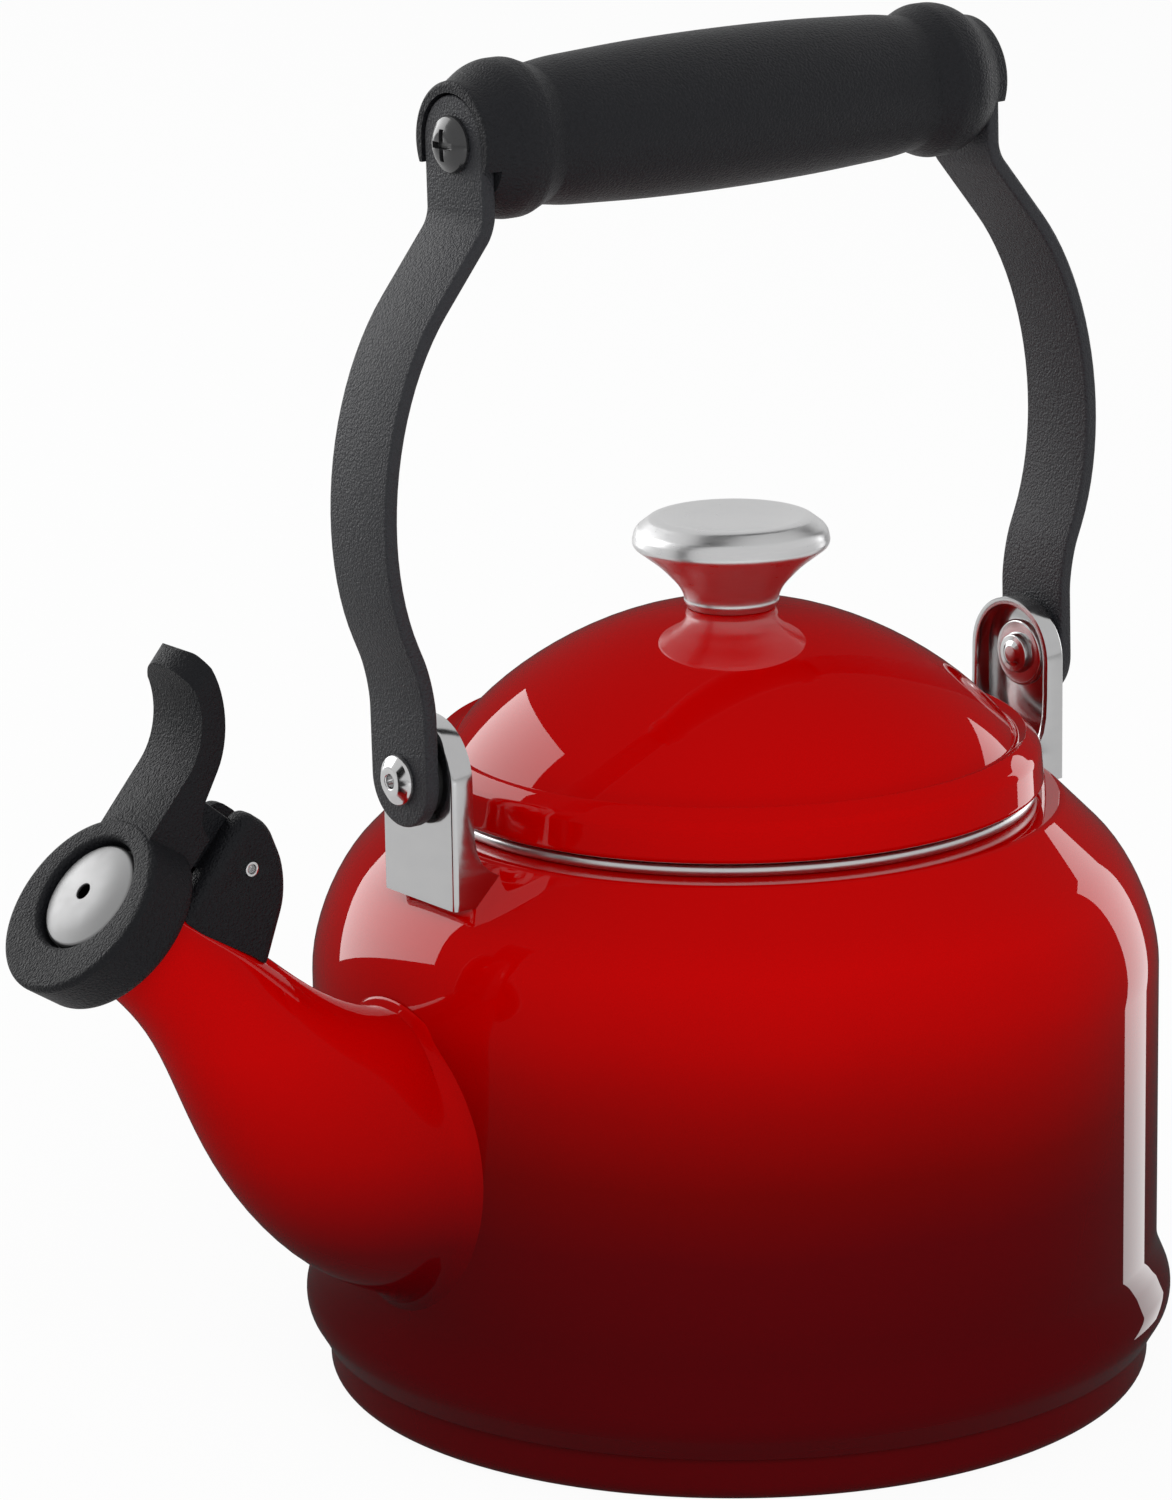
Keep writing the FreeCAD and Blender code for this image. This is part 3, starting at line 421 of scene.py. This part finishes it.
# Brackets: stainless sheet pressed to a U, its arch and sides rolled back, its toes welded on the
# shoulder each side of the lid. Polished bright; the rear one is the front one turned round.
bright_steel = steel("bright_steel", 0.56, 0.14, (1, 1, 3), 160, 0.008)
plate_x = 65.9
flange_x = 61.9
bracket_half = 10.1
bracket_top = 125.9
bracket_heights = [94.7, 96, 97.5, 99.4, 100.4, 101.8, 103.6, 106.2, 110, 115.8]
shoulder_sum = 157.17  # on the 45 degree shoulder, radius and height add up to this
weld_gap = 0.05
toe_start, toe_flare, toe_fade = 99.4, 5.2, 2.2  # above the shoulder the flange curls back to flange_x


def flange_edge(z):
    """How far the free edge of the flange stands from the kettle's axis at height z."""
    if z < toe_start + 0.1:
        return math.sqrt((shoulder_sum - z) ** 2 - bracket_half ** 2) - weld_gap
    return flange_x - toe_flare * math.exp(-(z - toe_start) / toe_fade)


def turn_round(piece):
    """Turns the mesh half round the kettle's axis, to the kettle's other side."""
    bpy.ops.object.select_all(action="DESELECT")
    piece.select_set(True)
    bpy.context.view_layer.objects.active = piece
    piece.rotation_euler = (0, 0, math.pi)
    bpy.ops.object.transform_apply(location=False, rotation=True, scale=False)
    return piece


def turned_copy(piece, name):
    twin = piece.copy()
    twin.data = piece.data.copy()
    twin.name = twin.data.name = name
    bpy.context.scene.collection.objects.link(twin)
    return turn_round(twin)


corners = [(-bracket_half, z, 0) for z in bracket_heights]
corners += [(-bracket_half, bracket_top, 0), (bracket_half, bracket_top, 0)]
corners += [(bracket_half, z, 0) for z in reversed(bracket_heights)]
bracket = draw_outline("front_pressed_bracket", corners)
for side in (-1, 1):
    pick(bracket, near(side * bracket_half, 0, bracket_top))
    bpy.ops.mesh.bevel(offset=(bracket_half - 0.001) * MM, affect="VERTICES", segments=14,
                       clamp_overlap=False)
bpy.ops.mesh.select_all(action="SELECT")
bpy.ops.mesh.remove_doubles(threshold=5e-6)
bpy.ops.mesh.edge_face_add()
bpy.ops.transform.rotate(value=math.pi / 2, orient_axis="Z", center_override=(0, 0, 0))
bpy.ops.transform.translate(value=(plate_x * MM, 0, 0))
bpy.ops.mesh.extrude_region_move(TRANSFORM_OT_translate={"value": ((flange_x - plate_x) * MM, 0, 0)})
bpy.ops.mesh.delete(type="ONLY_FACE")
mesh = bmesh.from_edit_mesh(bracket.data)
for vert in mesh.verts:
    if vert.co.x < (plate_x - 2) * MM:
        vert.co.x = flange_edge(vert.co.z / MM) * MM
foot = (bracket_heights[0] + 0.1) * MM
floor = [f for f in mesh.faces if f.normal.z < -0.9 and f.calc_center_median().z < foot]
bmesh.ops.delete(mesh, geom=floor, context="FACES_ONLY")
bmesh.update_edit_mesh(bracket.data)
bpy.ops.mesh.select_all(action="SELECT")
bpy.ops.mesh.normals_make_consistent(inside=False)
bpy.ops.object.mode_set(mode="OBJECT")
corner_angle = math.radians(60)
apply(bracket, "BEVEL", width=0.9 * MM, segments=5, limit_method="ANGLE", angle_limit=corner_angle)
apply(bracket, "SOLIDIFY", thickness=1.2 * MM, offset=-1)
apply(bracket, "BEVEL", width=0.18 * MM, segments=2, limit_method="ANGLE", angle_limit=math.radians(50))
smooth(bracket, 40)
turn_round(bracket)
rear_bracket = turned_copy(bracket, "rear_pressed_bracket")
finish_piece(bracket, bright_steel, "kettle", "stainless", "front_bracket")
finish_piece(rear_bracket, bright_steel, "kettle", "stainless", "rear_bracket")


# Lid: pressed steel dome with a soft groove and a rounded bead at its edge, enamelled like the
# body but cherry red all over. It lifts straight off; a spot-welded steel skirt centres it.
lid_enamel = enamel("lid_enamel", [(0.0, (0.41, 0.0, 0.0)), (1.0, (0.47, 0.0, 0.0)),
                                   (0.5, (0.45, 0.0, 0.0))], 100, 136)
lid = draw_outline("enamelled_lid", [
    (2.2, 134.19, 0), (7.0, 134.19, 3), (33.0, 132.2, 54.5), (48.2, 111.4, 1.9), (49.9, 112.6, 1.8),
    (52.4, 109.9, 3.0), (52.95, 103.5, 1.2), (50.6, 103.5, 0.35), (50.6, 104.4, 0.3), (52.0, 104.4, 0.5),
    (51.5, 109.3, 2.2), (49.7, 111.3, 1.0), (47.9, 110.2, 2.4), (32.5, 131.2, 53.5), (6.9, 133.1, 3),
    (2.2, 133.1, 0)], fine=4)
turn_outline(lid, 192)
smooth(lid, 40)
finish_piece(lid, lid_enamel, "lid", "red_enamel", "lid_shell")


# Knob: solid stainless, turned on a lathe and brushed, with a concave neck, a rounded edge and a
# shallow dish on top. A screw from inside the lid holds it on a steel washer.
brushed_steel = steel("brushed_steel", 0.70, 0.30, (1, 1, 9), 300, 0.02)
pad = 134.19
knob = draw_outline("turned_knob", [
    (2.05, pad, 0), (7.4, pad, 0.5), (8.1, pad + 1.2, 0.8), (7.9, pad + 2.9, 6), (12.2, pad + 7.4, 16),
    (16.9, pad + 11.0, 1.3), (16.4, pad + 13.5, 2.2), (13.2, pad + 15.95, 2.6), (5.5, pad + 14.35, 26),
    (0, pad + 14.35, 0), (0, pad + 7.5, 0), (2.05, pad + 7.5, 0)], fine=4)
turn_outline(knob, 128)
smooth(knob, 40)
finish_piece(knob, brushed_steel, "lid", "stainless", "lid_knob")


# Straps: 16 x 2.5 mm steel bar with rounded ends, bent to a long bow, its edges eased, under a
# textured black powder coat. The front strap is the rear one turned round, and the whole bail
# leans a little on its pivots, where friction holds it.
def fill_and_thicken(piece, half):
    """Fills the drawn outline and gives it a thickness of half to each side of y = 0."""
    bpy.ops.mesh.select_all(action="SELECT")
    bpy.ops.mesh.remove_doubles(threshold=1e-6)
    bpy.ops.mesh.edge_face_add()
    bpy.ops.transform.translate(value=(0, -half * MM, 0))
    bpy.ops.mesh.extrude_region_move(TRANSFORM_OT_translate={"value": (0, 2 * half * MM, 0)})
    bpy.ops.mesh.select_all(action="SELECT")
    bpy.ops.mesh.normals_make_consistent(inside=False)
    bpy.ops.object.mode_set(mode="OBJECT")
    return piece


def ease_edges(piece, width, segments=3, angle=50):
    apply(piece, "BEVEL", width=width * MM, segments=segments, limit_method="ANGLE",
          angle_limit=math.radians(angle), harden_normals=False)


def black_grain(name, shade, rough, shine, scale, deep, seam=None):
    """Textured black: a fine grain that catches the light in specks, with a moulding seam if asked."""
    material, tree, shader = new_surface(name)
    specks = grain(tree, scale, 2)
    wire(tree, between(tree, specks, rough * 0.8, rough * 1.25), shader.inputs["Roughness"])
    shader.inputs["Specular IOR Level"].default_value = shine
    tone = tree.nodes.new("ShaderNodeMixRGB")
    tone.inputs[1].default_value = (shade * 0.5, shade * 0.52, shade * 0.66, 1)
    tone.inputs[2].default_value = (shade * 1.45, shade * 1.5, shade * 1.75, 1)
    wire(tree, specks, tone.inputs[0])
    wire(tree, tone.outputs[0], shader.inputs["Base Color"])
    height = specks
    if seam:
        place = tree.nodes.new("ShaderNodeTexCoord")
        split = tree.nodes.new("ShaderNodeSeparateXYZ")
        across = tree.nodes.new("ShaderNodeMath")
        across.operation = "ABSOLUTE"
        line = tree.nodes.new("ShaderNodeMapRange")
        line.inputs["From Max"].default_value = seam * MM
        join = tree.nodes.new("ShaderNodeMath")
        join.operation = "MULTIPLY"
        wire(tree, place.outputs["Object"], split.inputs[0])
        wire(tree, split.outputs["Y"], across.inputs[0])
        wire(tree, across.outputs[0], line.inputs["Value"])
        wire(tree, line.outputs["Result"], join.inputs[0])
        wire(tree, specks, join.inputs[1])
        height = join.outputs[0]
    relief(tree, shader, height, 0.9, deep)
    return material


def lean_over(piece):
    """Turns a piece of the bail about the pivots' line, from upright to where friction holds it."""
    place = Matrix.Translation((0, 0, pivot * MM))
    piece.data.transform(place @ Matrix.Rotation(math.radians(-bail_lean), 4, "X") @ place.inverted())
    piece.data.update()


powder_coat = black_grain("powder_coat", 0.016, 0.5, 0.34, 2300, 0.4)
pivot = 115.8
bail_lean = 1.3
grip_z = 218.81
rear_strap = draw_outline("rear_bowed_strap", [
    (69.4, 106.0, 0), (69.4, 131.86, 24), (85.04, 168.88, 54.6), (54.4, 206.18, 5), (54.4, 228.5, 0),
    (51.9, 228.5, 0), (51.9, 205.29, 7.5), (82.15, 168.46, 52.1), (66.9, 132.37, 26.5),
    (66.9, 106.0, 0)], fine=3)
strap_half = 8
fill_and_thicken(rear_strap, strap_half + 1)
ends = draw_outline("ends", [(side * strap_half, z, strap_half - 0.001) for side, z in (
    (-1, pivot - strap_half), (1, pivot - strap_half), (1, grip_z + strap_half),
    (-1, grip_z + strap_half))], fine=4)
bpy.ops.mesh.select_all(action="SELECT")
bpy.ops.transform.rotate(value=math.pi / 2, orient_axis="Z", center_override=(0, 0, 0))
bpy.ops.mesh.remove_doubles(threshold=5e-6)
bpy.ops.mesh.edge_face_add()
bpy.ops.transform.translate(value=(0.045, 0, 0))
bpy.ops.mesh.extrude_region_move(TRANSFORM_OT_translate={"value": (0.04, 0, 0)})
bpy.ops.mesh.select_all(action="SELECT")
bpy.ops.mesh.normals_make_consistent(inside=False)
bpy.ops.object.mode_set(mode="OBJECT")
cut_away(rear_strap, ends, "INTERSECT")
ease_edges(rear_strap, 0.55)
smooth(rear_strap, 35)
front_strap = turned_copy(rear_strap, "front_bowed_strap")
lean_over(rear_strap)
lean_over(front_strap)
finish_piece(rear_strap, powder_coat, "bail", "black_coat", "rear_strap")
finish_piece(front_strap, powder_coat, "bail", "black_coat", "front_strap")


# Pivot rivets: stainless, with a domed hollow head outside the strap and a tip peened over a
# stepped collar inside the bracket.
rivet_steel = steel("rivet_steel", 0.64, 0.13, (14, 1, 1), 180, 0.01)
rivet = draw_outline("rear_pivot_rivet", [(x, pivot + r, bend) for x, r, bend in (
    (61.9, 0, 0), (61.9, 1.5, 0.7), (62.4, 2.3, 0.3), (62.5, 3.3, 0.25), (63.68, 3.7, 0.2),
    (63.72, 2.97, 0), (69.45, 2.97, 0), (69.45, 4.3, 0.2), (70.3, 4.2, 0.7), (71.45, 2.4, 1.1),
    (71.45, 1.2, 0.35), (70.0, 1.1, 0.1), (70.0, 0, 0))], closed=False)
turn_outline(rivet, 64, (0, 0, pivot), (1, 0, 0))
smooth(rivet, 40)
finish_piece(rivet, rivet_steel, "kettle", "stainless", "pivot_rivets")
front_rivet = turned_copy(rivet, "front_pivot_rivet")
finish_piece(front_rivet, rivet_steel, "kettle", "stainless", "pivot_rivets")


# Washers under the rivet tips: stamped stainless rings, rounded on one side by the stamping.
ring = draw_outline("rear_rivet_washer", [(x, pivot + r, bend) for x, r, bend in (
    (63.7, 3.0, 0.15), (63.7, 5.9, 0.5), (64.7, 5.9, 0.15), (64.7, 3.0, 0))])
turn_outline(ring, 64, (0, 0, pivot), (1, 0, 0))
smooth(ring, 40)
finish_piece(ring, rivet_steel, "kettle", "stainless", "rivet_washers")
front_ring = turned_copy(ring, "front_rivet_washer")
finish_piece(front_ring, rivet_steel, "kettle", "stainless", "rivet_washers")


# Grip: moulded black resin round the tops of the straps, with a swelling barrel, a bead at each
# end and a half-open hood over the strap end and its screw. Top lettering left bare.
def block(size, centre):
    bpy.ops.object.select_all(action="DESELECT")
    bpy.ops.mesh.primitive_cube_add(size=1, location=Vector(centre) * MM)
    bpy.context.object.scale = Vector(size) * MM
    return bpy.context.object


black_resin = black_grain("black_resin", 0.009, 0.42, 0.16, 2300, 0.4)
half_grip = [(54.7, 0, 0), (54.7, 10.15, 0.7), (52.3, 10.45, 2.5), (47.6, 13.1, 7.0), (43.4, 13.1, 3.5),
             (39.3, 11.45, 1.0), (34.0, 12.2, 30)]
grip = draw_outline("moulded_grip", (
    [(-x, grip_z + r, bend) for x, r, bend in half_grip] + [(0, grip_z + 13.99, 430)]
    + [(x, grip_z + r, bend) for x, r, bend in reversed(half_grip)]), closed=False, fine=4)
turn_outline(grip, 128, (0, 0, grip_z), (1, 0, 0))
for side in (-1, 1):
    cup = rod(8.35, 10, (side * 56.9, 0, grip_z))
    cut_away(cup, block((10, 16.68, 9), (side * 56.9, 0, grip_z - 4.5)), "UNION")
    cut_away(grip, cup)
    cut_away(grip, block((20, 50, 30), (side * 61.9, 0, grip_z - 18.7)))
    cut_away(grip, rod(4, 20, (side * 47.9, 0, grip_z), sides=64))
ease_edges(grip, 0.45, 3, 55)
lean_over(grip)
smooth(grip, 40)
finish_piece(grip, black_resin, "bail", "black_resin", "grip")


# Grip screws: pan heads with a cross recess, blackened and glossy, driven through the strap into
# brass inserts moulded in the grip.
gloss_black, tree, shader = new_surface("gloss_black")
shader.inputs["Base Color"].default_value = (0.012, 0.012, 0.013, 1)
shader.inputs["Coat Weight"].default_value = 0.5
wire(tree, between(tree, grain(tree, 700, 2), 0.16, 0.28), shader.inputs["Roughness"])
relief(tree, shader, grain(tree, 500, 1), 0.1, 0.02)
screw = draw_outline("rear_grip_screw", [
    (42.3, grip_z, 0), (42.3, grip_z + 2.15, 0.3), (54.42, grip_z + 2.15, 0), (54.42, grip_z + 4.8, 0.25),
    (55.3, grip_z + 4.7, 0.9), (56.7, grip_z + 2.6, 3.0), (56.7, grip_z, 0)], closed=False, fine=5)
turn_outline(screw, 64, (0, 0, grip_z), (1, 0, 0))
for wide, tall in ((5.2, 1.1), (1.1, 5.2)):
    cut_away(screw, block((2.6, wide, tall), (56.7, 0, grip_z)))
ease_edges(screw, 0.12, 2, 50)
smooth(screw, 40)
finish_piece(screw, gloss_black, "bail", "black_coat", "grip_screws")
front_screw = turned_copy(screw, "front_grip_screw")
lean_over(screw)
lean_over(front_screw)
finish_piece(front_screw, gloss_black, "bail", "black_coat", "grip_screws")


# Whistle: one black resin moulding that caps the spout: a thick ring, a curved thumb lever with a
# hooked tip and a seam down its middle, and two knuckles behind it for the hinge pin. Drawn upright
# with the mouth's axis along Z, then laid on the spout.
lean = math.radians(41)
mouth = Vector((-125.55, 0, 101.5))
ahead = Vector((-math.cos(lean), 0, math.sin(lean)))
above = Vector((math.sin(lean), 0, math.cos(lean)))
face_reach = 8.2  # from the spout mouth to the front of the ring
face_at = (mouth + ahead * face_reach) * MM
lay_on_spout = Matrix(((above.x, 0, ahead.x, face_at.x), (0, 1, 0, 0),
                       (above.z, 0, ahead.z, face_at.z), (0, 0, 0, 1)))


def lay(piece):
    """Moves a piece drawn upright to its place on the spout."""
    piece.data.transform(lay_on_spout)
    piece.data.update()
    return piece


whistle_resin = black_grain("whistle_resin", 0.007, 0.44, 0.14, 2300, 0.45, seam=0.14)
ring_middle = -0.6
ring_skew = 0.153  # the back of the ring stands above its face by this part of its depth
disc_middle = 1.6
hinge = (19.7, 0, -20.4)
whistle = draw_outline("whistle_moulding", [
    (0, 0, 0), (15.82, 0, 1.2), (15.82, -9.8, 2.2), (0, -9.8, 0)], closed=False, fine=5)
turn_outline(whistle, 128)
whistle.data.transform(Matrix(((1, 0, -ring_skew, ring_middle * MM), (0, 1, 0, 0), (0, 0, 1, 0),
                               (0, 0, 0, 1))))
lever = draw_outline("lever", [
    (11.6, -0.35, 0), (35.0, -0.25, 12.8), (37.9, 11.0, 0.9), (42.2, 10.9, 1.5), (39.1, -2.2, 17),
    (23.0, -5.9, 4), (20.3, -7.6, 1.5), (19.2, -10.3, 0), (11.6, -10.3, 0)], fine=5)
fill_and_thicken(lever, 7)
tongue = rod(8.125, 60, (30, 0, 2.875))
cut_away(tongue, block((59, 16.2, 20), (30, 0, -7)), "UNION")
cut_away(lever, tongue, "INTERSECT")
ease_edges(lever, 0.7, 3, 50)
cut_away(whistle, lever, "UNION")
arm = draw_outline("arm", [
    (12.8, -4.8, 0), (23.9, -4.8, 0), (24.5, -9.0, 2), (24.7, -15.0, 3), (24.7, -25.4, 4.99),
    (14.7, -25.4, 4.99), (15.0, -13.0, 2), (12.8, -10.0, 0)], fine=5)
fill_and_thicken(arm, 2.7)
ease_edges(arm, 0.4, 2, 60)
cut_away(whistle, arm, "UNION")
cut_away(whistle, rod(11.4, 10, (0, 0, -11.4), "Z"))
well = draw_outline("well", [(disc_middle + r, h, bend) for r, h, bend in (
    (0, 1.0, 0), (11.3, 1.0, 0), (11.3, 0.02, 0), (9.9, 0, 0.9), (9.9, -4.6, 0), (5.7, -4.6, 0),
    (5.7, -8, 0), (0, -8, 0))], closed=False, fine=8)
turn_outline(well, 128, (disc_middle, 0, 0))
cut_away(whistle, well)
for reach, length in ((6.0, 3), (1.3, 18)):
    cut_away(whistle, rod(reach, length, hinge, "Y", sides=48))
lay(whistle)
smooth(whistle, 40)
finish_piece(whistle, whistle_resin, "whistle", "black_resin", "whistle_cap")


# Whistle disc: domed stainless disc with a 2.8 mm hole, snapped into the ring in front of a flatter
# twin; the steam sings between the two.
disc = draw_outline("whistle_disc", [(disc_middle + r, h, bend) for r, h, bend in (
    (1.4, 0.3, 0.12), (5.4, 0.05, 14), (9.3, -1.1, 0.8), (9.3, -4.1, 0.2), (9.85, -4.1, 0),
    (9.85, -4.55, 0),
    (8.8, -4.55, 0), (8.8, -1.6, 0.4), (5.4, -0.45, 13), (1.4, -0.2, 0.12))], fine=4)
turn_outline(disc, 96, (disc_middle, 0, 0))
lay(disc)
smooth(disc, 45)
# The disc's steel is made far darker than the other steel. This is painted shade, keeping the disc dim
# under the bright room and softbox it reflects.
disc_steel_painted_shade = steel("disc_steel_painted_shade", 0.27, 0.42, (1, 1, 1), 240, 0.006)
finish_piece(disc, disc_steel_painted_shade, "whistle", "stainless", "whistle_front_disc")


# Whistle hinge: black resin saddle on the spout, a quarter-round cheek each side of the knuckle,
# its outer edges well rounded. A push-on cap on a welded stud holds it down.
saddle = draw_outline("hinge_saddle", [
    (4.5, -13.8, 0), (26.9, -13.8, 2.6), (27.4, -19.5, 6), (22.6, -28.8, 14), (9.4, -33.9, 3),
    (4.5, -33.2, 0)], fine=5)
fill_and_thicken(saddle, 6.8)
ease_edges(saddle, 2.2, 6, 60)
cut_away(saddle, block((20, 6, 60), (23.9, 0, -25)))
cut_away(saddle, rod(1.25, 40, hinge, "Y", sides=32))
lay(saddle)
over_spout = 0.1
stations = [(-66, 51.0, 0, 24.0, 19.4), (-73, 51.5, 2, 24.0, 19.0)] + sweep
stations += [(-125.2, 101.2, 41, 8.95, 8.95)]
under = skin("under", [spout_ring(x, z, turn, high + over_spout, wide + over_spout)
                       for x, z, turn, high, wide in stations], close=False)
cut_away(saddle, under)
ease_edges(saddle, 0.25, 2, 60)
smooth(saddle, 40)
finish_piece(saddle, whistle_resin, "kettle", "black_resin", "whistle_bracket")


# Hinge pin: bright steel tube through both cheeks, its ends eased and standing just proud.
pin = rod(1.24, 14.3, hinge, "Y", sides=48)
pin.name = pin.data.name = "hinge_pin"
bpy.ops.object.transform_apply(location=True, rotation=True, scale=True)
for side in (-1, 1):
    cut_away(pin, rod(0.8, 3, (hinge[0], side * 7.2, hinge[2]), "Y", sides=32))
ease_edges(pin, 0.12, 2, 50)
lay(pin)
smooth(pin, 40)
finish_piece(pin, rivet_steel, "kettle", "stainless", "whistle_pin")


# Parts that are out of sight or as plain as the CAD has them keep its mesh: the skirt under the
# lid, its washer and screw, the inserts in the grip, the pivots' friction washers, the stud, and
# the spring, seal and rear disc of the whistle.
def rubber(name, shade, rough):
    material, tree, shader = new_surface(name)
    shader.inputs["Base Color"].default_value = (shade, shade, shade, 1)
    wire(tree, between(tree, grain(tree, 900, 2), rough * 0.9, rough * 1.1), shader.inputs["Roughness"])
    relief(tree, shader, grain(tree, 900, 2), 0.3, 0.02)
    return material


seal_rubber = rubber("seal_rubber", 0.03, 0.7)
washer_fibre = rubber("washer_fibre", 0.015, 0.5)
brass, tree, shader = new_surface("brass")
shader.inputs["Metallic"].default_value = 1.0
shader.inputs["Base Color"].default_value = (0.62, 0.42, 0.16, 1)
wire(tree, between(tree, grain(tree, 300, 2), 0.2, 0.32), shader.inputs["Roughness"])
for node, material in (
        ("lid_skirt", satin_steel), ("knob_washer", satin_steel), ("knob_screw", rivet_steel),
        ("grip_inserts", brass), ("friction_washers", washer_fibre), ("bracket_stud", rivet_steel),
        ("whistle_spring", rivet_steel), ("whistle_seal", seal_rubber), ("whistle_rear_disc", disc_steel_painted_shade)):
    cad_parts[node].data.materials.clear()
    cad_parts[node].data.materials.append(material)
